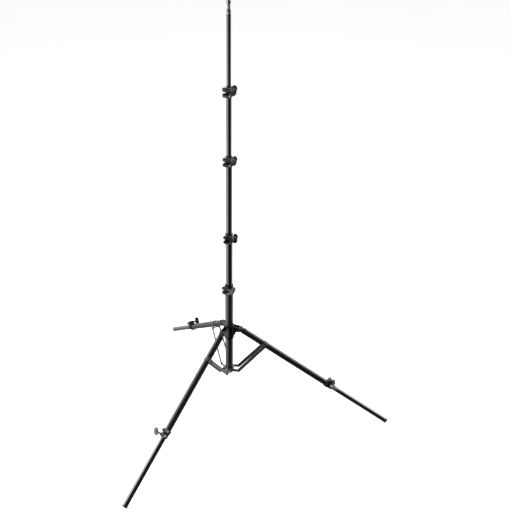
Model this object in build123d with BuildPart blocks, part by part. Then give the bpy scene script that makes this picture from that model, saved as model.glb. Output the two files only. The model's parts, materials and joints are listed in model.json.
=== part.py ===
from build123d import *
from math import cos, radians, sin, sqrt
import os

# A telescopic lighting stand: a five-section column on three folding, telescopic legs.
# Millimetres, +Z up, origin on the floor under the column axis, leg B along +X.

# ---------------------------------------------------------------- driving dimensions
SLIP = 0.05  # radial clearance of every sliding or turning fit
OVERCUT = 1.0  # how far a cut runs past the faces it opens

# Column tubes from the base section up: outside radius, inside radius
COLUMN_R = [18.5, 16.0, 13.5, 11.0, 8.75]
COLUMN_BORE_R = [17.0, 14.5, 12.0, 9.7, 7.4]
SECTION_LENGTH = 440.0
# Heights above the leg pivots
BASE_BOTTOM = -254.0
COLLAR_HEIGHTS = [222.0, 483.0, 834.0, 1115.0]
COLUMN_TOP = 1395.0
PLUG_DEPTH = 14.0
PLUG_HEAD = 4.0
PLUG_EDGE = 1.5
TUBE_EDGE = 0.35  # broken edges of the tubes
BUSH_HEAD = 14.0
BUSH_SPIGOT = 16.0
BUSH_WALL = 2.0
BUSH_LEAD = 0.8

# Legs
LEG_ANGLES = {"a": 240.0, "b": 0.0, "c": 120.0}
LEG_SLOPE = 34.8  # below the horizontal
LEG_LENGTH = 901.0  # pivot to the end of the foot
LEG_COLLAR_AT = 533.0  # pivot to the step of the leg collar
PIVOT_RADIUS = 54.0
LEG_TUBE_START = 22.0
HEAD_COLLAR = 5.0
HEAD_COLLAR_LIP = 0.6
HEAD_SPIGOT = 24.0
LEG_TUBE_R = 15.0
LEG_TUBE_BORE_R = 13.4
FOOT_TUBE_R = 12.5
FOOT_TUBE_BORE_R = 11.0
FOOT_TUBE_LENGTH = 460.0
FOOT_CAP_LENGTH = 6.0
FOOT_CAP_LIP = 0.4
FOOT_CAP_EDGE = 1.2
FOOT_PLUG = 20.0  # part of the cap inside the tube
FOOT_FLAT = 2.0  # height of the facet that rests on the floor

# Hub
HUB_TOP = 24.0
HUB_BOTTOM = -46.0
HUB_SLEEVE_R = 23.5
HUB_BORE_R = 20.2
HUB_EDGE = 1.2
HUB_BUSH_RIM = 1.4  # sleeve left showing around the bush's flange
HUB_BUSH_FLANGE = 1.6
TONGUE_HALF = 7.8
YOKE_GAP = 0.3
YOKE_PLATE = 4.6
PIVOT_END_R = 11.0
YOKE_TOP = [(38.0, 14.0), (20.0, 19.0)]  # plate outline, out and up from the pivots' level
YOKE_WEB = [(20.0, -42.0), (25.5, -32.0), (31.0, -20.0), (34.5, -PIVOT_END_R)]
PIVOT_PIN_R = 3.0
PIVOT_HEAD_R = 5.4
PIVOT_HEAD = 2.4
PIVOT_EDGE = 0.8
STOP_RING_WALL = 3.4
STOP_RING_HEIGHT = 8.0
STOP_RING_EDGE = 0.8
STOP_RING_GAP = 0.2  # below the open hub

# Struts and the spider at the foot of the column
SADDLE_AT = 142.0  # pivot to the strut pin, along the leg
SADDLE_DROP = 18.4  # strut pin below the leg axis
SADDLE_HALF = 10.0
SADDLE_WALL = 2.0
SADDLE_CORNER = 6.0
SPIDER_PIN_RADIUS = 46.0
SPIDER_PIN_HEIGHT = -236.0  # above the leg pivots
SPIDER_RING_R = 24.5
SPIDER_HALF = 10.0  # half of the ring's height
SPIDER_EDGE = 1.0
EAR_ROOT = 8.0  # radius at which the ears start, inside the ring
EAR_INNER = 17.5
EAR_OUTER = 20.7
EAR_END_R = 7.5
STRUT_WIDTH = 16.5
STRUT_THICKNESS = 3.0
STRUT_SIDE_GAP = 0.3
STRUT_BEND = 24.0  # from each pin to the bend
STRUT_PIN_R = 2.5
RIVET_HEAD_R = 5.0
RIVET_HEAD = 2.4
RIVET_RIM = 0.6  # straight edge under the dome

# Clamp collars
BAND_WALL = 4.0
NECK_WALL = 1.8  # the collar between its two bands
COLLAR_HALF = 21.0
BAND_START = 4.0  # from the tube step to each band's near edge
BAND_EDGE = 0.9
BAND_TAPER = 1.6  # bands run out to the neck
SCREW_AT = 11.0  # each cross screw above or below the tube step
LUG_FACE = 8.5  # knob side face of the lugs, from the middle of the slit
LUG_BACK = 15.5  # nut side face of the lugs
SLIT_HALF = 1.2
LUG_END_R = 8.6
LUG_ROOT = 1.0  # lugs start this far into their band
LUG_CENTRE = 9.0  # screw axis outside the outer tube's surface
SCREW_R = 3.0
BOLT_R = 2.5
NUT_R = 7.4
NUT_HEIGHT = 5.2
BOLT_HEAD_R = 6.6
BOLT_HEAD = 3.6
BOLT_EDGE = 0.5
BOLT_NUT_HEIGHT = 4.6
THREAD_END = 1.2  # bolt and screw ends beyond their nuts
COLUMN_LUG_ANGLES = [-116.0, -96.0, -102.0, -102.0]

# Wing knobs: barrel as radius and height, wing lobe as distance out from the screw and height
KNOB_SEAT = [(6.6, 0.0), (6.6, 1.8), (5.0, 3.2)]  # heights above the seat on the lugs
KNOB_BARREL = [(5.0, 0.0), (6.6, 5.0), (5.8, 17.0), (4.2, 19.4), (0.0, 19.4)]  # above the wing's near edge
WING_LOBE = [(5.0, 3.0), (15.0, 1.8), (19.6, 5.0), (21.0, 10.0), (19.8, 16.0), (15.0, 20.2), (0.0, 21.0)]
WING_THICKNESS = 6.0
WING_CLEARANCE = 1.2  # wing to the band beside it
KNOB_LIFT = 0.5  # seat clear of the lugs
SCREW_LEAD = 0.8
LEG_WING_EXTRA = 5.0  # leg screws stand further out
COLUMN_WING_TURNS = [-60.0, -42.0, -48.0, -40.0]
LEG_WING_TURNS = {"a": -45.0, "b": 10.0, "c": -75.0}

# Stud on top: heights and radii from the top tube's end
FERRULE_HEIGHT = 3.5
FERRULE_LIP = 0.7
FERRULE_EDGE = 0.6
STUD_SPIGOT = 30.0  # part of the stud inside the tube
STUD_LEAD = 0.8
STUD_R = 7.95
STUD_LAND = 11.0
STUD_WAIST_R = 5.6
STUD_WAIST_TOP = 31.0
STUD_TOP = 43.0
STUD_EDGE = 1.0
STUD_TIP_R = 3.175
STUD_TIP_LENGTH = 9.5
STUD_TIP_EDGE = 0.7

# ---------------------------------------------------------------- derived places
SLOPE = radians(LEG_SLOPE)
FOOT_R = FOOT_TUBE_R + FOOT_CAP_LIP
HUB_Z = LEG_LENGTH * sin(SLOPE) + FOOT_R * cos(SLOPE) - FOOT_FLAT
COLLAR_Z = [HUB_Z + height for height in COLLAR_HEIGHTS]
SECTION_TOPS = COLLAR_Z + [HUB_Z + COLUMN_TOP]
FOOT_TUBE_END = LEG_LENGTH - FOOT_CAP_LENGTH

# The strut's line in a leg's upright plane, from its spider pin to its pin on the leg
SADDLE_RADIUS = PIVOT_RADIUS + SADDLE_AT * cos(SLOPE) - SADDLE_DROP * sin(SLOPE)
SADDLE_HEIGHT = -SADDLE_AT * sin(SLOPE) - SADDLE_DROP * cos(SLOPE)
STRUT_RUN = SADDLE_RADIUS - SPIDER_PIN_RADIUS
STRUT_RISE = SADDLE_HEIGHT - SPIDER_PIN_HEIGHT
STRUT_LENGTH = sqrt(STRUT_RUN**2 + STRUT_RISE**2)
STRUT_LOW_Y = EAR_OUTER + STRUT_SIDE_GAP
STRUT_HIGH_Y = LEG_TUBE_R + SADDLE_WALL + STRUT_SIDE_GAP

os.makedirs("parts", exist_ok=True)


def save(piece, name):
    """Label a finished piece and write it as its own STEP file."""
    piece.part.label = name
    export_step(piece.part, f"parts/{name}.step")


def save_group(pieces, name):
    """Write several loose pieces, such as fasteners of one kind, as the solids of one node."""
    group = Compound([solid for piece in pieces for solid in piece.part.solids()])
    group.label = name
    export_step(group, f"parts/{name}.step")


def seat(frame, plane):
    """Turn a plane given in a frame's own axes into a plane in the stand's axes."""
    return Plane(frame.location * plane.location)


def axis_of(frame):
    """The line through a frame's origin along its z direction."""
    return Axis(frame.origin, frame.z_dir)


# ---------------------------------------------------------------- frames
def upright_frame(angle):
    """One leg's upright plane: x outward, z up, origin on the column level with the pivots."""
    outward = (cos(radians(angle)), sin(radians(angle)), 0)
    return Plane(origin=(0, 0, HUB_Z), x_dir=outward, z_dir=(0, 0, 1))


def leg_frame(angle):
    """One leg: x along it to the foot, z square to it and up, origin at the pivot."""
    upright = upright_frame(angle)
    pivot = upright.from_local_coords((PIVOT_RADIUS, 0, 0))
    along = upright.x_dir * cos(SLOPE) - upright.z_dir * sin(SLOPE)
    above = upright.x_dir * sin(SLOPE) + upright.z_dir * cos(SLOPE)
    return Plane(origin=pivot, x_dir=along, z_dir=above)


def cross_section(leg, at):
    """The plane square to a leg at a distance from its pivot, looking towards the foot."""
    return seat(leg, Plane.YZ.offset(at))


def strut_frame(angle):
    """One strut pair: x from the spider pins to the leg pins, y across, origin between the pins."""
    upright = upright_frame(angle)
    foot = upright.from_local_coords((SPIDER_PIN_RADIUS, 0, SPIDER_PIN_HEIGHT))
    along = upright.x_dir * (STRUT_RUN / STRUT_LENGTH) + upright.z_dir * (STRUT_RISE / STRUT_LENGTH)
    return Plane(origin=foot, x_dir=along, z_dir=along.cross(upright.y_dir))


def column_collar_frame(index):
    """A column collar: z up the column, x towards its lugs, origin at the tube step."""
    angle = radians(COLUMN_LUG_ANGLES[index])
    return Plane(origin=(0, 0, COLLAR_Z[index]), x_dir=(cos(angle), sin(angle), 0), z_dir=(0, 0, 1))


def leg_collar_frame(leg):
    """A leg collar: z towards the foot, x up towards its lugs, origin at the tube step."""
    step = leg.from_local_coords((LEG_COLLAR_AT, 0, 0))
    return Plane(origin=step, x_dir=leg.z_dir, z_dir=leg.x_dir)


def screw_frame(collar, outer_r, side, turn=0.0):
    """A collar's cross screw: z along it towards the knob, x turned from the tube's direction."""
    centre = collar.from_local_coords((outer_r + LUG_CENTRE, 0, side * SCREW_AT))
    x_dir = collar.z_dir * cos(radians(turn)) + collar.x_dir * sin(radians(turn))
    return Plane(origin=centre, x_dir=x_dir, z_dir=collar.y_dir)


# ---------------------------------------------------------------- tubes and their bushes
def tube(plane, length, outer_r, bore_r):
    """A drawn tube with lightly broken edges, starting at the plane."""
    with BuildPart() as piece:
        with BuildSketch(plane):
            Circle(outer_r)
            Circle(bore_r, mode=Mode.SUBTRACT)
        extrude(amount=length)
        chamfer(piece.edges().filter_by(GeomType.CIRCLE), TUBE_EDGE)
    return piece


def guide_bush(end, bore_r, outer_bore_r):
    """Plastic bush at a tube's inner end: a spigot in the tube, and a head that guides it."""
    head_r = outer_bore_r - SLIP
    inside_r = bore_r - BUSH_WALL
    with BuildPart() as piece:
        with BuildSketch(seat(end, Plane.XZ)):
            with BuildLine():
                Polyline(
                    (inside_r, -BUSH_HEAD),
                    (head_r - BUSH_LEAD, -BUSH_HEAD),
                    (head_r, -BUSH_HEAD + BUSH_LEAD),
                    (head_r, 0.0),
                    (bore_r, 0.0),
                    (bore_r, BUSH_SPIGOT),
                    (inside_r, BUSH_SPIGOT),
                    close=True,
                )
            make_face()
        revolve(axis=axis_of(end))
    return piece


# ---------------------------------------------------------------- clamp collars
def clamp_collar(frame, outer_r, inner_r):
    """Split collar: its lower band is bolted on the outer tube, its upper band grips the inner."""
    low_r = outer_r + BAND_WALL
    high_r = inner_r + BAND_WALL
    neck_r = outer_r + NECK_WALL
    lug_x = outer_r + LUG_CENTRE
    upright = seat(frame, Plane.XZ)
    with BuildPart() as piece:
        with BuildSketch(upright):
            with BuildLine():
                Polyline(
                    (outer_r, -COLLAR_HALF),
                    (low_r - BAND_EDGE, -COLLAR_HALF),
                    (low_r, -COLLAR_HALF + BAND_EDGE),
                    (low_r, -BAND_START - BAND_TAPER),
                    (neck_r, -BAND_START),
                    (neck_r, BAND_START),
                    (high_r, BAND_START + BAND_TAPER),
                    (high_r, COLLAR_HALF - BAND_EDGE),
                    (high_r - BAND_EDGE, COLLAR_HALF),
                    (inner_r + SLIP, COLLAR_HALF),
                    (inner_r + SLIP, 0.0),
                    (outer_r, 0.0),
                    close=True,
                )
            make_face()
        revolve(axis=axis_of(frame))
        # One block of lugs on each band, whole until the slit parts it
        for side, band_r in ((-1, outer_r), (1, inner_r)):
            root_x = band_r + LUG_ROOT
            with BuildSketch(upright.offset(-LUG_FACE)):
                with Locations((lug_x, side * SCREW_AT)):
                    Circle(LUG_END_R)
                with Locations(((root_x + lug_x) / 2, side * SCREW_AT)):
                    Rectangle(lug_x - root_x, 2 * LUG_END_R)
            extrude(amount=LUG_FACE + LUG_BACK)
        # The tubes' own room, which the blocks' inner corners would reach into
        with BuildSketch(frame.offset(-COLLAR_HALF)):
            Circle(outer_r)
        extrude(amount=COLLAR_HALF, mode=Mode.SUBTRACT)
        with BuildSketch(frame):
            Circle(inner_r + SLIP)
        extrude(amount=COLLAR_HALF, mode=Mode.SUBTRACT)
        # The slit between the lugs of both bands
        with BuildSketch(upright):
            with Locations((lug_x, 0)):
                Rectangle(2 * (lug_x - OVERCUT), 2 * (COLLAR_HALF + OVERCUT))
        extrude(amount=SLIT_HALF, both=True, mode=Mode.SUBTRACT)
        # Cross holes for the fixing bolt below and the wing screw above
        for side, hole_r in ((-1, BOLT_R), (1, SCREW_R + SLIP)):
            with BuildSketch(upright):
                with Locations((lug_x, side * SCREW_AT)):
                    Circle(hole_r)
            extrude(amount=LUG_BACK + OVERCUT, both=True, mode=Mode.SUBTRACT)
    return piece


def hex_bolt(head_face, head_r, head, shank_r, shank):
    """Hex bolt whose head stands on the plane and whose shank runs back behind it."""
    with BuildPart() as piece:
        with BuildSketch(head_face):
            RegularPolygon(head_r, 6)
        extrude(amount=head)
        with BuildSketch(head_face):
            Circle(shank_r)
        extrude(amount=-shank)
        chamfer(piece.edges().filter_by(GeomType.CIRCLE).sort_by(axis_of(head_face))[0], BOLT_EDGE)
    return piece


def hex_nut(face, nut_r, hole_r, height):
    """Hex nut standing on the plane."""
    with BuildPart() as piece:
        with BuildSketch(face):
            RegularPolygon(nut_r, 6)
            Circle(hole_r, mode=Mode.SUBTRACT)
        extrude(amount=height)
    return piece


def collar_hardware(frame, outer_r):
    """Fixing bolt and nut on the lower lugs, and the wing screw's nut on the upper lugs."""
    bolt = screw_frame(frame, outer_r, -1)
    screw = screw_frame(frame, outer_r, 1)
    shank = LUG_FACE + LUG_BACK + BOLT_NUT_HEIGHT + THREAD_END
    return [
        hex_bolt(bolt.offset(LUG_FACE), BOLT_HEAD_R, BOLT_HEAD, BOLT_R, shank),
        hex_nut(bolt.offset(-LUG_BACK), BOLT_HEAD_R, BOLT_R, -BOLT_NUT_HEIGHT),
        hex_nut(screw.offset(-LUG_BACK), NUT_R, SCREW_R + SLIP, -NUT_HEIGHT),
    ]


def wing_knob(frame, outer_r, turn, extra=0.0):
    """One-piece cast wing screw, its wing turned about the screw and standing out by extra."""
    screw = screw_frame(frame, outer_r, 1, turn)
    upright = seat(screw, Plane.XZ)
    tip = -LUG_BACK - NUT_HEIGHT - THREAD_END
    seat_height = LUG_FACE + KNOB_LIFT
    near = outer_r + BAND_WALL + WING_CLEARANCE + extra
    with BuildPart() as piece:
        with BuildSketch(upright):
            with BuildLine():
                Polyline(
                    (0.0, tip),
                    (SCREW_R - SCREW_LEAD, tip),
                    (SCREW_R, tip + SCREW_LEAD),
                    (SCREW_R, seat_height),
                    *[(radius, seat_height + height) for radius, height in KNOB_SEAT],
                    *[(radius, near + height) for radius, height in KNOB_BARREL],
                    close=True,
                )
            make_face()
        revolve(axis=axis_of(screw))
        # The wing: two broad lobes, cut back beside the barrel and rounded at their tips
        with BuildSketch(upright):
            for side in (-1, 1):
                lobe = [(side * out, near + height) for out, height in WING_LOBE]
                root = (0.0, lobe[0][1])
                with BuildLine():
                    Line(root, lobe[0])
                    Spline(*lobe)
                    Line(lobe[-1], root)
                make_face()
        extrude(amount=WING_THICKNESS / 2, both=True)
    return piece


# ---------------------------------------------------------------- hub and spider
def hub():
    """Cast hub that slides on the base tube, with a yoke of two plates for each leg."""
    with BuildPart() as piece:
        with BuildSketch(Plane.XY.offset(HUB_Z + HUB_BOTTOM)):
            Circle(HUB_SLEEVE_R)
        extrude(amount=HUB_TOP - HUB_BOTTOM)
        chamfer(piece.edges().filter_by(GeomType.CIRCLE), HUB_EDGE)
        plate_inner = TONGUE_HALF + YOKE_GAP
        plate_middle = plate_inner + YOKE_PLATE / 2
        for angle in LEG_ANGLES.values():
            upright = upright_frame(angle)
            for side in (-1, 1):
                with BuildSketch(seat(upright, Plane.XZ.offset(side * plate_middle))):
                    with BuildLine():
                        Polyline(
                            (PIVOT_RADIUS, PIVOT_END_R),
                            *YOKE_TOP,
                            *YOKE_WEB,
                            (PIVOT_RADIUS, -PIVOT_END_R),
                        )
                        ThreePointArc(
                            (PIVOT_RADIUS, -PIVOT_END_R),
                            (PIVOT_RADIUS + PIVOT_END_R, 0.0),
                            (PIVOT_RADIUS, PIVOT_END_R),
                        )
                    make_face()
                extrude(amount=YOKE_PLATE / 2, both=True)
            with BuildSketch(seat(upright, Plane.XZ)):
                with Locations((PIVOT_RADIUS, 0)):
                    Circle(PIVOT_PIN_R)
            extrude(amount=plate_inner + YOKE_PLATE + OVERCUT, both=True, mode=Mode.SUBTRACT)
        with BuildSketch(Plane.XY.offset(HUB_Z + HUB_BOTTOM)):
            Circle(HUB_BORE_R)
        extrude(amount=HUB_TOP - HUB_BOTTOM, mode=Mode.SUBTRACT)
    return piece


def hub_bush():
    """Plastic liner pressed into the hub, running on the base tube."""
    run_r = COLUMN_R[0] + SLIP
    flange_r = HUB_SLEEVE_R - HUB_BUSH_RIM
    hub_top = HUB_Z + HUB_TOP
    hub_bottom = HUB_Z + HUB_BOTTOM
    flange_top = hub_top + HUB_BUSH_FLANGE
    with BuildPart() as piece:
        with BuildSketch(Plane.XZ):
            with BuildLine():
                Polyline(
                    (run_r, hub_bottom),
                    (HUB_BORE_R, hub_bottom),
                    (HUB_BORE_R, hub_top),
                    (flange_r, hub_top),
                    (flange_r, flange_top),
                    (run_r + BUSH_LEAD, flange_top),
                    (run_r, flange_top - BUSH_LEAD),
                    close=True,
                )
            make_face()
        revolve(axis=Axis.Z)
    return piece


def pivot_pin(upright):
    """Shouldered pin through one yoke, headed on both outer faces."""
    reach = TONGUE_HALF + YOKE_GAP + YOKE_PLATE
    centre = upright.from_local_coords((PIVOT_RADIUS, 0, 0))
    line = Plane(origin=centre, x_dir=upright.z_dir, z_dir=upright.y_dir)
    with BuildPart() as piece:
        with BuildSketch(line):
            Circle(PIVOT_PIN_R)
        extrude(amount=reach, both=True)
        for side in (-1, 1):
            with BuildSketch(line.offset(side * reach)):
                Circle(PIVOT_HEAD_R)
            extrude(amount=side * PIVOT_HEAD)
        for end in (0, -1):
            chamfer(piece.edges().filter_by(GeomType.CIRCLE).sort_by(axis_of(line))[end], PIVOT_EDGE)
    return piece


def stop_ring():
    """Ring fixed on the base tube under the hub, which carries the hub when the legs are open."""
    top = HUB_Z + HUB_BOTTOM - STOP_RING_GAP
    with BuildPart() as piece:
        with BuildSketch(Plane.XY.offset(top)):
            Circle(COLUMN_R[0] + STOP_RING_WALL)
            Circle(COLUMN_R[0], mode=Mode.SUBTRACT)
        extrude(amount=-STOP_RING_HEIGHT)
        chamfer(piece.edges().filter_by(GeomType.CIRCLE).sort_by(Axis.Z)[:2], STOP_RING_EDGE)
    return piece


def spider():
    """Fixed spider at the column's foot: a ring with a pair of ears for each strut pair."""
    middle = HUB_Z + SPIDER_PIN_HEIGHT
    with BuildPart() as piece:
        with BuildSketch(Plane.XY.offset(middle - SPIDER_HALF)):
            Circle(SPIDER_RING_R)
        extrude(amount=2 * SPIDER_HALF)
        chamfer(piece.edges().filter_by(GeomType.CIRCLE), SPIDER_EDGE)
        for angle in LEG_ANGLES.values():
            upright = upright_frame(angle)
            for side in (-1, 1):
                ear_middle = side * (EAR_INNER + EAR_OUTER) / 2
                with BuildSketch(seat(upright, Plane.XZ.offset(ear_middle))):
                    with Locations((SPIDER_PIN_RADIUS, SPIDER_PIN_HEIGHT)):
                        Circle(EAR_END_R)
                    with Locations(((SPIDER_PIN_RADIUS + EAR_ROOT) / 2, SPIDER_PIN_HEIGHT)):
                        Rectangle(SPIDER_PIN_RADIUS - EAR_ROOT, 2 * EAR_END_R)
                    with Locations((SPIDER_PIN_RADIUS, SPIDER_PIN_HEIGHT)):
                        Circle(STRUT_PIN_R, mode=Mode.SUBTRACT)
                extrude(amount=(EAR_OUTER - EAR_INNER) / 2, both=True)
        with BuildSketch(Plane.XY.offset(middle - SPIDER_HALF)):
            Circle(COLUMN_R[0])
        extrude(amount=2 * SPIDER_HALF, mode=Mode.SUBTRACT)
    return piece


def end_plug():
    """Plastic plug that closes the base tube's lower end."""
    bottom = HUB_Z + BASE_BOTTOM
    with BuildPart() as piece:
        with BuildSketch(Plane.XY.offset(bottom)):
            Circle(COLUMN_BORE_R[0])
        extrude(amount=PLUG_DEPTH)
        with BuildSketch(Plane.XY.offset(bottom)):
            Circle(COLUMN_R[0])
        extrude(amount=-PLUG_HEAD)
        chamfer(piece.edges().filter_by(GeomType.CIRCLE).sort_by(Axis.Z)[0], PLUG_EDGE)
    return piece


# ---------------------------------------------------------------- struts
def strut_bar(frame, side):
    """Flat bar from the spider's ear to the saddle, set inward towards its upper end."""
    inner_low = STRUT_LOW_Y
    inner_high = STRUT_HIGH_Y
    outer_low = inner_low + STRUT_THICKNESS
    outer_high = inner_high + STRUT_THICKNESS
    bend_low = STRUT_BEND
    bend_high = STRUT_LENGTH - STRUT_BEND
    start = -STRUT_WIDTH
    finish = STRUT_LENGTH + STRUT_WIDTH
    with BuildPart() as piece:
        with BuildSketch(frame):
            with BuildLine():
                Polyline(
                    (start, side * inner_low),
                    (bend_low, side * inner_low),
                    (bend_high, side * inner_high),
                    (finish, side * inner_high),
                    (finish, side * outer_high),
                    (bend_high, side * outer_high),
                    (bend_low, side * outer_low),
                    (start, side * outer_low),
                    close=True,
                )
            make_face()
        extrude(amount=STRUT_WIDTH / 2, both=True)
        # Round ends and pin holes, seen square to the bar
        with BuildSketch(seat(frame, Plane.XZ)):
            with Locations((STRUT_LENGTH / 2, 0)):
                SlotCenterToCenter(STRUT_LENGTH, STRUT_WIDTH)
            with Locations((0, 0)):
                Circle(STRUT_PIN_R + SLIP, mode=Mode.SUBTRACT)
            with Locations((STRUT_LENGTH, 0)):
                Circle(STRUT_PIN_R, mode=Mode.SUBTRACT)
        extrude(amount=outer_low + OVERCUT, both=True, mode=Mode.INTERSECT)
    return piece


def rivet(face, shank):
    """Rivet with its domed head on the plane and its shank running back behind it."""
    rim = (RIVET_HEAD_R, RIVET_RIM)
    dome = RIVET_HEAD - RIVET_RIM
    dome_r = (RIVET_HEAD_R**2 + dome**2) / (2 * dome)
    with BuildPart() as piece:
        with BuildSketch(seat(face, Plane.XZ)):
            with BuildLine():
                Polyline(
                    (0, RIVET_HEAD),
                    (0, -shank),
                    (STRUT_PIN_R, -shank),
                    (STRUT_PIN_R, 0),
                    (RIVET_HEAD_R, 0),
                    rim,
                )
                RadiusArc(rim, (0, RIVET_HEAD), -dome_r)
            make_face()
        revolve(axis=axis_of(face))
    return piece


def strut_pin_face(frame, along, side, distance):
    """A plane facing away from the strut pair's middle, centred on one of its pins."""
    centre = frame.from_local_coords((along, side * distance, 0))
    return Plane(origin=centre, x_dir=frame.x_dir, z_dir=frame.y_dir * side)


# ---------------------------------------------------------------- leg pieces
def leg_head(leg):
    """Cast head in a leg tube's upper end, with the tongue that turns in the hub's yoke."""
    with BuildPart() as piece:
        with BuildSketch(seat(leg, Plane.XZ)):
            Circle(PIVOT_END_R)
            with Locations((LEG_TUBE_START / 2, 0)):
                Rectangle(LEG_TUBE_START, 2 * PIVOT_END_R)
        extrude(amount=TONGUE_HALF, both=True)
        with BuildSketch(cross_section(leg, LEG_TUBE_START)):
            Circle(LEG_TUBE_R + HEAD_COLLAR_LIP)
        extrude(amount=-HEAD_COLLAR)
        with BuildSketch(cross_section(leg, LEG_TUBE_START)):
            Circle(LEG_TUBE_BORE_R)
        extrude(amount=HEAD_SPIGOT)
        with BuildSketch(seat(leg, Plane.XZ)):
            Circle(PIVOT_PIN_R + SLIP)
        extrude(amount=TONGUE_HALF + OVERCUT, both=True, mode=Mode.SUBTRACT)
    return piece


def saddle(leg):
    """Steel strap over the leg tube, with a side plate on each side for the strut pin."""
    outside = LEG_TUBE_R + SADDLE_WALL
    foot = -SADDLE_DROP - EAR_END_R
    with BuildPart() as piece:
        with BuildSketch(cross_section(leg, SADDLE_AT - SADDLE_HALF)):
            Circle(outside)
            with Locations((0, foot / 2)):
                Rectangle(2 * outside, -foot)
            Circle(LEG_TUBE_R, mode=Mode.SUBTRACT)
            with Locations((0, foot / 2 - OVERCUT)):
                Rectangle(2 * LEG_TUBE_R, 2 * OVERCUT - foot, mode=Mode.SUBTRACT)
        extrude(amount=2 * SADDLE_HALF)
        across = piece.edges().filter_by(Axis(leg.origin, leg.y_dir))
        fillet(across.group_by(Axis(leg.origin, leg.z_dir))[0], SADDLE_CORNER)
        with BuildSketch(seat(leg, Plane.XZ)):
            with Locations((SADDLE_AT, -SADDLE_DROP)):
                Circle(STRUT_PIN_R)
        extrude(amount=outside + OVERCUT, both=True, mode=Mode.SUBTRACT)
    return piece


def saddle_pin(leg):
    """Pin between the saddle's side plates under the tube, flush with their outer faces."""
    centre = leg.from_local_coords((SADDLE_AT, 0, -SADDLE_DROP))
    with BuildPart() as piece:
        with BuildSketch(Plane(origin=centre, x_dir=leg.x_dir, z_dir=leg.y_dir)):
            Circle(STRUT_PIN_R)
        extrude(amount=LEG_TUBE_R + SADDLE_WALL, both=True)
    return piece


def foot_cap(leg):
    """Rubber cap plugged into the foot tube, with a facet that stands flat on the floor."""
    with BuildPart() as piece:
        with BuildSketch(cross_section(leg, FOOT_TUBE_END - FOOT_PLUG)):
            Circle(FOOT_TUBE_BORE_R)
        extrude(amount=FOOT_PLUG)
        with BuildSketch(cross_section(leg, FOOT_TUBE_END)):
            Circle(FOOT_R)
        extrude(amount=FOOT_CAP_LENGTH)
        far_edge = piece.edges().filter_by(GeomType.CIRCLE).sort_by(Axis(leg.origin, leg.x_dir))[-1]
        fillet(far_edge, FOOT_CAP_EDGE)
        split(bisect_by=Plane.XY)
    return piece


# ---------------------------------------------------------------- stud
def stud():
    """Machined 5/8 inch stud: spigot, land, waist, head and a 1/4 inch threaded tip."""
    base = SECTION_TOPS[-1] + FERRULE_HEIGHT
    tip = base + STUD_TOP + STUD_TIP_LENGTH
    neck = STUD_R - STUD_WAIST_R
    with BuildPart() as piece:
        with BuildSketch(Plane.XZ):
            with BuildLine():
                Polyline(
                    (0, base - STUD_SPIGOT),
                    (COLUMN_BORE_R[-1] - STUD_LEAD, base - STUD_SPIGOT),
                    (COLUMN_BORE_R[-1], base - STUD_SPIGOT + STUD_LEAD),
                    (COLUMN_BORE_R[-1], base),
                    (STUD_R, base),
                    (STUD_R, base + STUD_LAND),
                    (STUD_WAIST_R, base + STUD_LAND + neck),
                    (STUD_WAIST_R, base + STUD_WAIST_TOP - neck),
                    (STUD_R, base + STUD_WAIST_TOP),
                    (STUD_R, base + STUD_TOP - STUD_EDGE),
                    (STUD_R - STUD_EDGE, base + STUD_TOP),
                    (STUD_TIP_R, base + STUD_TOP),
                    (STUD_TIP_R, tip - STUD_TIP_EDGE),
                    (STUD_TIP_R - STUD_TIP_EDGE, tip),
                    (0, tip),
                    close=True,
                )
            make_face()
        revolve(axis=Axis.Z)
    return piece


def ferrule():
    """Light ring between the top tube and the stud."""
    with BuildPart() as piece:
        with BuildSketch(Plane.XY.offset(SECTION_TOPS[-1])):
            Circle(COLUMN_R[-1] + FERRULE_LIP)
            Circle(COLUMN_BORE_R[-1], mode=Mode.SUBTRACT)
        extrude(amount=FERRULE_HEIGHT)
        chamfer(piece.edges().filter_by(GeomType.CIRCLE).group_by(SortBy.RADIUS)[-1], FERRULE_EDGE)
    return piece


# ---------------------------------------------------------------- base of the column
base_end = HUB_Z + BASE_BOTTOM
base_length = SECTION_TOPS[0] - base_end
save(tube(Plane.XY.offset(base_end), base_length, COLUMN_R[0], COLUMN_BORE_R[0]), "base_tube")
save(end_plug(), "base_end_plug")
save(spider(), "lower_spider")
save(stop_ring(), "hub_stop_ring")
save(hub(), "leg_hub")
save(hub_bush(), "hub_bush")
save_group([pivot_pin(upright_frame(angle)) for angle in LEG_ANGLES.values()], "leg_pivot_pins")

# ---------------------------------------------------------------- column sections
for index, (section_top, section_r) in enumerate(zip(SECTION_TOPS, COLUMN_R)):
    section = f"section_{index + 1}"
    if index > 0:
        lower_end = Plane.XY.offset(section_top - SECTION_LENGTH)
        bore_r = COLUMN_BORE_R[index]
        save(tube(lower_end, SECTION_LENGTH, section_r, bore_r), f"{section}_tube")
        save(guide_bush(lower_end, bore_r, COLUMN_BORE_R[index - 1]), f"{section}_guide_bush")
    if index < len(COLLAR_Z):
        collar = column_collar_frame(index)
        save(clamp_collar(collar, section_r, COLUMN_R[index + 1]), f"{section}_collar")
        save_group(collar_hardware(collar, section_r), f"{section}_collar_bolts")
        save(wing_knob(collar, section_r, COLUMN_WING_TURNS[index]), f"{section}_wing_knob")
save(ferrule(), "stud_ferrule")
save(stud(), "mounting_stud")

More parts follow.
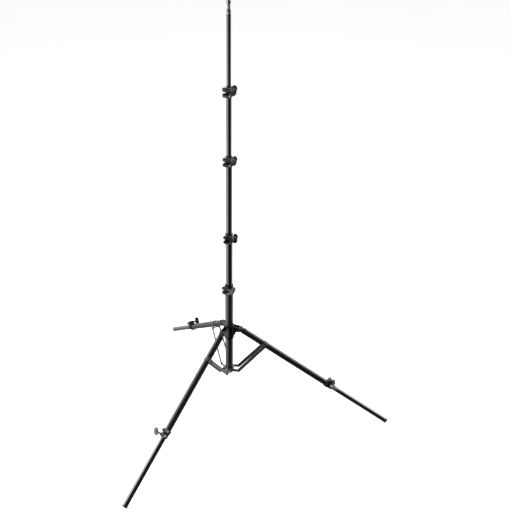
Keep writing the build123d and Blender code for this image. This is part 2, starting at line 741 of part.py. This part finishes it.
# ---------------------------------------------------------------- legs and struts
spider_rivets = []
for letter, angle in LEG_ANGLES.items():
    name = f"leg_{letter}"
    leg = leg_frame(angle)
    collar = leg_collar_frame(leg)
    upper_start = cross_section(leg, LEG_TUBE_START)
    upper_length = LEG_COLLAR_AT - LEG_TUBE_START
    lower_start = cross_section(leg, FOOT_TUBE_END - FOOT_TUBE_LENGTH)
    save(leg_head(leg), f"{name}_head")
    save(tube(upper_start, upper_length, LEG_TUBE_R, LEG_TUBE_BORE_R), f"{name}_upper_tube")
    save(saddle(leg), f"{name}_saddle")
    save(clamp_collar(collar, LEG_TUBE_R, FOOT_TUBE_R), f"{name}_collar")
    save_group([saddle_pin(leg)] + collar_hardware(collar, LEG_TUBE_R), f"{name}_bolts")
    knob = wing_knob(collar, LEG_TUBE_R, LEG_WING_TURNS[letter], LEG_WING_EXTRA)
    save(knob, f"{name}_wing_knob")
    save(tube(lower_start, FOOT_TUBE_LENGTH, FOOT_TUBE_R, FOOT_TUBE_BORE_R), f"{name}_lower_tube")
    save(guide_bush(lower_start, FOOT_TUBE_BORE_R, LEG_TUBE_BORE_R), f"{name}_guide_bush")
    save(foot_cap(leg), f"{name}_foot_cap")

    strut = strut_frame(angle)
    low_face = STRUT_LOW_Y + STRUT_THICKNESS
    high_face = STRUT_HIGH_Y + STRUT_THICKNESS
    strut_pieces = []
    for side in (-1, 1):
        strut_pieces.append(strut_bar(strut, side))
        high_pin = strut_pin_face(strut, STRUT_LENGTH, side, high_face)
        strut_pieces.append(rivet(high_pin, STRUT_THICKNESS))
        low_pin = strut_pin_face(strut, 0, side, low_face + SLIP)
        spider_rivets.append(rivet(low_pin, low_face + SLIP - EAR_INNER))
    save_group(strut_pieces, f"{name}_struts")
save_group(spider_rivets, "spider_rivets")
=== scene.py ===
import json
import math

import bpy
from mathutils import Euler, Matrix, Vector


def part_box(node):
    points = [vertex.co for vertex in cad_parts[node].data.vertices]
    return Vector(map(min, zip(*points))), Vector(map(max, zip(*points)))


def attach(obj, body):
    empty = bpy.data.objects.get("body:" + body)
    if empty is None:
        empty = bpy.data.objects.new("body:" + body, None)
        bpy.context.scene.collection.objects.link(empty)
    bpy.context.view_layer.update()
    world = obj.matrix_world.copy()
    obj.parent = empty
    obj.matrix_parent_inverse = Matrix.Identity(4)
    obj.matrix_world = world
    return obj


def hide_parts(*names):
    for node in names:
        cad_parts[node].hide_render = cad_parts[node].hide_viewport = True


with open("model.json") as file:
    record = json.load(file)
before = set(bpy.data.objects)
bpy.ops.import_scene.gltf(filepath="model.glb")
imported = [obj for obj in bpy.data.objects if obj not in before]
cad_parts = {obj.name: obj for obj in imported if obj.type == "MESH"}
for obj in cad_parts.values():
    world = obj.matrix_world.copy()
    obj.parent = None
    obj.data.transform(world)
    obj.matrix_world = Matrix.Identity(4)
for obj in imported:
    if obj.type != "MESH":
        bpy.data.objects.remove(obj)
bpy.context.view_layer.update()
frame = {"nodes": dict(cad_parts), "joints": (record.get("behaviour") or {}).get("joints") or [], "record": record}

# Looks of a folding lighting stand: finishes, cast and turned detail, floor, light and camera.
# Metres, in the row frame: +Z up, origin on the floor under the column, leg b along +X.

MM = 0.001
NODES = frame["nodes"]
JOINTS = {joint["name"]: joint for joint in frame["joints"]}
LEGS = ("a", "b", "c")
UP = Vector((0.0, 0.0, 1.0))


# ---------------------------------------------------------------- node materials
class Graph:
    """Wires up the node tree of a material or a world."""

    def __init__(self, owner):
        owner.use_nodes = True
        self.tree = owner.node_tree
        self.tree.nodes.clear()

    def add(self, kind, inputs=None, **settings):
        """A new node: settings are its own properties, inputs are values or other sockets."""
        node = self.tree.nodes.new(kind)
        for key, value in settings.items():
            setattr(node, key, value)
        for key, value in (inputs or {}).items():
            if isinstance(value, bpy.types.NodeSocket):
                self.tree.links.new(value, node.inputs[key])
            else:
                node.inputs[key].default_value = value
        return node

    def noise(self, coordinates, scale, detail=4.0, roughness=0.55):
        node = self.add("ShaderNodeTexNoise", {
            "Vector": coordinates, "Scale": scale, "Detail": detail, "Roughness": roughness})
        return node.outputs["Fac"]

    def spread(self, value, low, high, to_low=0.0, to_high=1.0):
        """Stretch a value's low..high to to_low..to_high, held at the ends."""
        node = self.add("ShaderNodeMapRange", {
            "Value": value, "From Min": low, "From Max": high, "To Min": to_low, "To Max": to_high})
        return node.outputs["Result"]

    def maths(self, operation, first, second):
        node = self.add("ShaderNodeMath", {0: first, 1: second}, operation=operation)
        return node.outputs["Value"]

    def mix(self, factor, first, second):
        node = self.add("ShaderNodeMix", {"Factor": factor, "A": first, "B": second}, data_type="RGBA")
        return node.outputs["Result"]


def colour(grey, tint=(1.0, 1.0, 1.0)):
    return (grey * tint[0], grey * tint[1], grey * tint[2], 1.0)


def edge_mask(graph, radius):
    """1 on the sharp outer edges of a piece and 0 on its faces, after the edge's rounding."""
    rounded = graph.add("ShaderNodeBevel", {"Radius": radius}, samples=4).outputs["Normal"]
    flat = graph.add("ShaderNodeNewGeometry").outputs["Normal"]
    agree = graph.add("ShaderNodeVectorMath", {0: rounded, 1: flat}, operation="DOT_PRODUCT")
    return graph.spread(agree.outputs["Value"], 0.975, 0.86)


def finish_material(name, base, bare, rough, metallic=0.0, coat=0.0, specular=0.5, wear=0.5,
                    edge_radius=0.6 * MM, cloud=35.0, contrast=0.25, grain=1400.0, grain_depth=0.02 * MM,
                    streak_axis=None, streak_depth=0.004 * MM):
    """A finish with clouded colour, fine grain, optional drawn streaks, and bare wear on its edges."""
    material = bpy.data.materials.new(name)
    graph = Graph(material)
    place = graph.add("ShaderNodeTexCoord").outputs["Object"]
    clouds = graph.noise(place, cloud)
    specks = graph.noise(place, grain, detail=3.0)
    smudges = graph.noise(place, cloud * 3.1, detail=6.0, roughness=0.65)
    height = graph.maths("MULTIPLY", specks, grain_depth)
    roughness = graph.spread(smudges, 0.35, 0.72, rough * 0.92, rough * 1.12)
    tone = clouds
    if streak_axis is not None:
        turn = Vector(streak_axis).rotation_difference(UP).to_euler()
        turned = graph.add("ShaderNodeVectorRotate", {"Vector": place, "Rotation": turn},
                           rotation_type="EULER_XYZ").outputs["Vector"]
        drawn = graph.add("ShaderNodeVectorMath", {0: turned, 1: (900.0, 900.0, 9.0)},
                          operation="MULTIPLY").outputs["Vector"]
        streaks = graph.noise(drawn, 1.0, detail=5.0, roughness=0.7)
        height = graph.maths("ADD", height, graph.maths("MULTIPLY", streaks, streak_depth))
        roughness = graph.maths("ADD", roughness, graph.spread(streaks, 0.4, 0.65, -0.015, 0.02))
        tone = graph.maths("ADD", graph.maths("MULTIPLY", clouds, 0.6),
                           graph.maths("MULTIPLY", streaks, 0.4))
    paint = graph.mix(graph.spread(tone, 0.36, 0.66), colour_scaled(base, 1.0 - contrast),
                      colour_scaled(base, 1.0 + contrast))
    patchy = graph.spread(graph.noise(place, 260.0, detail=6.0, roughness=0.7), 0.42, 0.60)
    worn = graph.maths("MULTIPLY", graph.maths("MULTIPLY", edge_mask(graph, edge_radius), patchy), wear)
    skin = graph.mix(worn, paint, bare)
    metal = graph.spread(worn, 0.0, 1.0, metallic, 1.0)
    bump = graph.add("ShaderNodeBump", {"Height": height, "Strength": 1.0, "Distance": 1.0})
    surface = graph.add("ShaderNodeBsdfPrincipled", {
        "Base Color": skin, "Metallic": metal, "Roughness": roughness, "Coat Weight": coat,
        "Coat Roughness": 0.12, "Specular IOR Level": specular, "Normal": bump.outputs["Normal"]})
    graph.add("ShaderNodeOutputMaterial", {"Surface": surface.outputs["BSDF"]})
    return material


def colour_scaled(base, share):
    return (base[0] * share, base[1] * share, base[2] * share, 1.0)


BARE_ALUMINIUM = colour(0.42, (1.0, 1.0, 1.02))
BARE_STEEL = colour(0.36, (1.0, 0.99, 0.97))
RUBBED_PLASTIC = colour(0.10)


def leg_axis(leg):
    return Vector(JOINTS[f"leg_{leg}_extend"]["axis"]).normalized()


FINISHES = {
    "anodised_tube": dict(base=colour(0.010), bare=BARE_ALUMINIUM, rough=0.20, coat=0.3, wear=0.5,
                          contrast=0.12, streak_axis=UP, grain=2600.0, grain_depth=0.001 * MM,
                          streak_depth=0.001 * MM),
    "cast_black": dict(base=colour(0.006), bare=BARE_ALUMINIUM, rough=0.17, wear=0.22, specular=0.38,
                       grain=1100.0, grain_depth=0.02 * MM),
    "strut_steel": dict(base=colour(0.040), bare=BARE_STEEL, rough=0.42, wear=0.45, specular=0.8,
                        grain=1500.0, grain_depth=0.025 * MM),
    "knob_black": dict(base=colour(0.011), bare=RUBBED_PLASTIC, rough=0.28, wear=0.4,
                       grain=1300.0, grain_depth=0.02 * MM),
    "fastener": dict(base=colour(0.13, (1.0, 1.0, 1.03)), bare=BARE_STEEL, rough=0.18, metallic=1.0,
                     wear=0.6, grain=1900.0, grain_depth=0.02 * MM, edge_radius=0.4 * MM),
    "guide_plastic": dict(base=colour(0.018), bare=RUBBED_PLASTIC, rough=0.5, wear=0.4,
                          grain=1700.0, grain_depth=0.03 * MM),
    "foot_rubber": dict(base=colour(0.016), bare=RUBBED_PLASTIC, rough=0.7, wear=0.7,
                        grain=900.0, grain_depth=0.08 * MM),
    "stud_steel": dict(base=colour(0.11, (1.0, 1.0, 1.02)), bare=colour(0.45), rough=0.2, metallic=1.0,
                       wear=0.5, grain=2600.0, grain_depth=0.006 * MM, edge_radius=0.4 * MM),
    "ferrule_metal": dict(base=colour(0.26), bare=colour(0.6), rough=0.28, metallic=1.0, wear=0.5,
                          grain=2200.0, grain_depth=0.01 * MM),
}
MATERIALS = {slot: finish_material(f"{slot}_finish", **look) for slot, look in FINISHES.items()}
DRAWN = dict(bare=BARE_ALUMINIUM, wear=0.5, contrast=0.12, grain=2600.0, grain_depth=0.001 * MM,
             streak_depth=0.001 * MM)
NODE_FINISHES = {
    "base_tube": finish_material("base_tube_finish", colour(0.016), rough=0.36, specular=0.4, streak_axis=UP,
                                 **DRAWN),
    # The spider's copy of the cast finish is lighter and shinier: painted highlights on the lower spider.
    "lower_spider": finish_material("spider_painted_highlight_finish", **{**FINISHES["cast_black"], "base": colour(0.035),
                                                        "rough": 0.34, "specular": 0.8}),
}
# A copy of the cast finish with duller, weaker reflections: painted shade that darkens the hub, the leg heads, leg
# c's collar and section 1's collar.
PAINTED_SHADE_CAST = finish_material("painted_shade_cast_finish",
                            **{**FINISHES["cast_black"], "rough": 0.3, "specular": 0.2})
for name in ("leg_hub", "leg_a_head", "leg_b_head", "leg_c_head", "leg_c_collar", "section_1_collar"):
    NODE_FINISHES[name] = PAINTED_SHADE_CAST
for leg in LEGS:
    NODE_FINISHES[f"leg_{leg}_upper_tube"] = finish_material(
        f"leg_{leg}_upper_finish", colour(0.012), rough=0.22, coat=0.3, streak_axis=leg_axis(leg), **DRAWN)
    NODE_FINISHES[f"leg_{leg}_lower_tube"] = finish_material(
        f"leg_{leg}_lower_finish", colour(0.14), rough=0.18, metallic=1.0, coat=1.0,
        streak_axis=leg_axis(leg), **DRAWN)

SLOTS = {part["node"]: part["material_slot"] for part in frame["record"]["subparts"]}
for name, piece in NODES.items():
    finish = NODE_FINISHES.get(name) or MATERIALS[SLOTS[name]]
    for place in piece.material_slots:
        place.material = finish


# ---------------------------------------------------------------- cast and pressed edges
def smooth_shading(piece):
    """Drop the imported normals and shade smooth."""
    mesh = piece.data
    if "custom_normal" in mesh.attributes:
        mesh.attributes.remove(mesh.attributes["custom_normal"])
    mesh.polygons.foreach_set("use_smooth", [True] * len(mesh.polygons))


def cast_edges(piece, voxel, rounds, keep):
    """Round all of a casting's edges and corners, inside and out."""
    smooth_shading(piece)
    remesh = piece.modifiers.new("skin", "REMESH")
    remesh.mode = "VOXEL"
    remesh.voxel_size = voxel
    remesh.use_smooth_shade = True
    soften = piece.modifiers.new("soften", "SMOOTH")
    soften.factor = 0.5
    soften.iterations = rounds
    thin = piece.modifiers.new("thin", "DECIMATE")
    thin.ratio = keep


def pressed_edges(piece, width):
    """A small rounding on the sharp edges of a pressed or turned piece."""
    smooth_shading(piece)
    weld = piece.modifiers.new("weld", "WELD")
    weld.merge_threshold = 0.002 * MM
    planar = piece.modifiers.new("planar", "DECIMATE")
    planar.decimate_type = "DISSOLVE"
    planar.angle_limit = math.radians(0.5)
    bevel = piece.modifiers.new("bevel", "BEVEL")
    bevel.width = width
    bevel.segments = 2
    bevel.limit_method = "ANGLE"
    bevel.angle_limit = math.radians(35.0)
    normals = piece.modifiers.new("normals", "WEIGHTED_NORMAL")
    normals.keep_sharp = False


CAST = {"leg_hub": 0.55, "lower_spider": 0.5}
CAST.update({f"section_{index}_collar": 0.4 for index in (1, 2, 3, 4)})
CAST.update({f"leg_{leg}_collar": 0.4 for leg in LEGS})
CAST.update({f"leg_{leg}_head": 0.4 for leg in LEGS})
CAST.update({f"section_{index}_wing_knob": 0.35 for index in (1, 2, 3, 4)})
CAST.update({f"leg_{leg}_wing_knob": 0.35 for leg in LEGS})
for name, voxel in CAST.items():
    cast_edges(NODES[name], voxel * MM, 2, 0.3)
for leg in LEGS:
    pressed_edges(NODES[f"leg_{leg}_saddle"], 0.4 * MM)
    pressed_edges(NODES[f"leg_{leg}_struts"], 0.4 * MM)


# Bolts, nuts, pins and rivets
FASTENERS = ["leg_pivot_pins", "spider_rivets"]
FASTENERS += [f"section_{index}_collar_bolts" for index in (1, 2, 3, 4)]
FASTENERS += [f"leg_{leg}_bolts" for leg in LEGS]
for name in FASTENERS:
    pressed_edges(NODES[name], 0.3 * MM)


# ---------------------------------------------------------------- turned stud with its thread
# Heights above the stud's shoulder and radii, in millimetres
STUD_PROFILE = [
    (-30.0, 6.80), (-29.0, 7.40), (0.0, 7.40), (0.0, 7.70), (0.25, 7.95), (10.5, 7.95), (11.0, 7.80),
    (12.9, 5.90), (13.6, 5.65), (14.4, 5.60), (27.6, 5.60), (28.4, 5.65), (29.1, 5.90), (31.0, 7.80),
    (31.5, 7.95), (42.0, 7.95), (42.7, 7.70), (43.0, 7.00), (43.0, 2.60),
]
TIP_BASE = 43.0
TIP_TOP = 52.5
THREAD_R = 3.175
THREAD_PITCH = 1.27
THREAD_DEPTH = 0.75
THREAD_STEP = 0.127
STUD_SIDES = 64


def thread_radius(height, share):
    """The tip's radius at a height and a share of a turn: a V thread that runs out at both ends."""
    phase = (height / THREAD_PITCH - share) % 1.0
    cut = THREAD_DEPTH * abs(2.0 * phase - 1.0)
    room = min(height - TIP_BASE, TIP_TOP - height)
    return min(THREAD_R - cut, THREAD_R - THREAD_DEPTH + room)


def turned_stud():
    """The stud as one closed turned piece, with a helical thread on its tip."""
    low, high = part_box("mounting_stud")
    shoulder = high.z - TIP_TOP * MM
    rings = [(height, [radius] * STUD_SIDES) for height, radius in STUD_PROFILE]
    steps = round((TIP_TOP - TIP_BASE) / THREAD_STEP)
    for step in range(1, steps + 1):
        height = TIP_BASE + (TIP_TOP - TIP_BASE) * step / steps
        rings.append((height, [thread_radius(height, side / STUD_SIDES) for side in range(STUD_SIDES)]))
    corners = []
    for height, radii in rings:
        for side, radius in enumerate(radii):
            turn = 2.0 * math.pi * side / STUD_SIDES
            corners.append((radius * MM * math.cos(turn), radius * MM * math.sin(turn), shoulder + height * MM))
    faces = []
    for ring in range(len(rings) - 1):
        for side in range(STUD_SIDES):
            following = (side + 1) % STUD_SIDES
            faces.append((ring * STUD_SIDES + side, ring * STUD_SIDES + following,
                          (ring + 1) * STUD_SIDES + following, (ring + 1) * STUD_SIDES + side))
    last = (len(rings) - 1) * STUD_SIDES
    faces.append(tuple(reversed(range(STUD_SIDES))))
    faces.append(tuple(range(last, last + STUD_SIDES)))
    mesh = bpy.data.meshes.new("threaded_stud")
    mesh.from_pydata(corners, [], faces)
    mesh.polygons.foreach_set("use_smooth", [True] * len(mesh.polygons))
    mesh.set_sharp_from_angle(angle=math.radians(32.0))
    mesh.materials.append(MATERIALS["stud_steel"])
    piece = bpy.data.objects.new("threaded_stud", mesh)
    bpy.context.scene.collection.objects.link(piece)
    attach(piece, "section_5")
    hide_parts("mounting_stud")


turned_stud()


# ---------------------------------------------------------------- floor, light and camera
def make_floor():
    """A wide pale floor, plain white to the camera and dimmer in reflections."""
    material = bpy.data.materials.new("floor_white")
    graph = Graph(material)
    place = graph.add("ShaderNodeTexCoord").outputs["Object"]
    tone = graph.spread(graph.noise(place, 0.8), 0.3, 0.7, 0.80, 0.84)
    shade = graph.add("ShaderNodeCombineColor", {0: tone, 1: tone, 2: tone}).outputs["Color"]
    matt = graph.add("ShaderNodeBsdfDiffuse", {"Color": shade})
    glow = graph.add("ShaderNodeEmission", {"Color": (1.0, 1.0, 1.0, 1.0), "Strength": 0.72})
    both = graph.add("ShaderNodeAddShader", {0: matt.outputs["BSDF"], 1: glow.outputs["Emission"]})
    dim = graph.add("ShaderNodeBsdfDiffuse", {"Color": colour(0.16)})
    seen = graph.add("ShaderNodeLightPath").outputs["Is Camera Ray"]
    surface = graph.add("ShaderNodeMixShader", {0: seen, 1: dim.outputs["BSDF"], 2: both.outputs["Shader"]})
    graph.add("ShaderNodeOutputMaterial", {"Surface": surface.outputs["Shader"]})
    half = 30.0
    mesh = bpy.data.meshes.new("floor")
    mesh.from_pydata([(-half, -half, 0.0), (half, -half, 0.0), (half, half, 0.0), (-half, half, 0.0)],
                     [], [(0, 1, 2, 3)])
    mesh.materials.append(material)
    floor = bpy.data.objects.new("floor", mesh)
    floor.visible_glossy = False
    bpy.context.scene.collection.objects.link(floor)


def softbox(name, place, aim, width, height, watts):
    """A rectangular soft light at a place, aimed at a point."""
    data = bpy.data.lights.new(name, "AREA")
    data.shape = "RECTANGLE"
    data.size = width
    data.size_y = height
    data.energy = watts
    light = bpy.data.objects.new(name, data)
    light.location = place
    light.rotation_euler = (Vector(aim) - Vector(place)).to_track_quat("-Z", "Y").to_euler()
    light.visible_glossy = False
    bpy.context.scene.collection.objects.link(light)


def make_world():
    """Plain white to the camera, even grey for soft light, and a studio of panels in the reflections."""
    world = bpy.data.worlds.new("studio")
    graph = Graph(world)
    towards = graph.add("ShaderNodeTexCoord").outputs["Generated"]
    axes = graph.add("ShaderNodeSeparateXYZ", {"Vector": towards}).outputs

    def panel(strength, **edges):
        """Light from where every axis is past its edge; an edge fades in from its first value to its second."""
        share = strength
        for axis, (none, full) in edges.items():
            share = graph.maths("MULTIPLY", share, graph.spread(axes[axis[0]], none, full))
        return share

    panels = DARK_SIDE
    for strength, edges in PANELS:
        panels = graph.maths("MAXIMUM", panels, panel(strength, **edges))
    path = graph.add("ShaderNodeLightPath").outputs
    glossy = graph.maths("MULTIPLY", path["Is Glossy Ray"], panels)
    even = graph.maths("MULTIPLY", graph.maths("SUBTRACT", 1.0, path["Is Glossy Ray"]), EVEN_LIGHT)
    unseen = graph.maths("MULTIPLY", graph.maths("SUBTRACT", 1.0, path["Is Camera Ray"]),
                         graph.maths("ADD", glossy, even))
    strength = graph.maths("ADD", unseen, path["Is Camera Ray"])
    light = graph.add("ShaderNodeBackground", {"Color": (1.0, 1.0, 1.0, 1.0), "Strength": strength})
    graph.add("ShaderNodeOutputWorld", {"Surface": light.outputs["Background"]})
    bpy.context.scene.world = world


# Panels seen in the reflections: strength, and on each axis where it fades in, from none to full
PANELS = [
    (4.6, {"X": (-0.22, -0.50), "Y": (0.42, 0.20), "Z": (0.10, -0.05), "Z_low": (-0.78, -0.48)}),
    (3.2, {"X": (-0.45, -0.62), "Y": (0.80, 0.50), "Z": (-0.10, 0.05)}),
    (1.5, {"X": (-0.30, -0.50), "Y": (0.40, 0.20), "Z": (-0.35, -0.60)}),
    (3.2, {"Y": (-0.20, 0.10), "Z": (-0.10, 0.20)}),
    (0.6, {"Y": (-0.10, 0.40), "Z": (0.20, -0.10), "Z_low": (-0.62, -0.46)}),
    (0.22, {"Y": (-0.10, 0.40), "Z": (-0.30, -0.50)}),
    (2.2, {"X": (0.55, 0.75), "Y": (-0.10, 0.10), "Z": (0.10, -0.10)}),
    (0.8, {"Z": (-0.80, -0.95)}),
]
DARK_SIDE = 0.05
EVEN_LIGHT = 0.3
make_floor()
make_world()
softbox("left_box", (-3.2, -0.6, 1.9), (0.0, 0.0, 0.9), 1.2, 3.2, 160.0)
softbox("right_box", (3.4, 0.8, 1.6), (0.0, 0.0, 0.9), 0.7, 3.2, 60.0)
softbox("top_box", (-0.4, 1.6, 3.6), (0.0, 0.2, 0.4), 2.4, 1.6, 90.0)

# Camera: the view is framed off its optical axis, so the sensor is shifted
CAMERA_PLACE = (0.2885, -2.8012, 2.5049)
CAMERA_PITCH = 54.72
CAMERA_TURN = 5.88
CAMERA_ROLL = -0.09
SENSOR = 36.0
LENS = 51.346
SHIFT_X = 0.0506
SHIFT_Y = 0.1471
data = bpy.data.cameras.new("camera")
data.sensor_width = SENSOR
data.lens = LENS
data.shift_x = SHIFT_X
data.shift_y = SHIFT_Y
camera = bpy.data.objects.new("camera", data)
camera.location = CAMERA_PLACE
level = Euler((math.radians(CAMERA_PITCH), 0.0, math.radians(CAMERA_TURN))).to_matrix()
camera.rotation_euler = (level @ Matrix.Rotation(math.radians(CAMERA_ROLL), 3, "Z")).to_euler()
bpy.context.scene.collection.objects.link(camera)
bpy.context.scene.camera = camera
bpy.context.scene.view_settings.view_transform = "Standard"
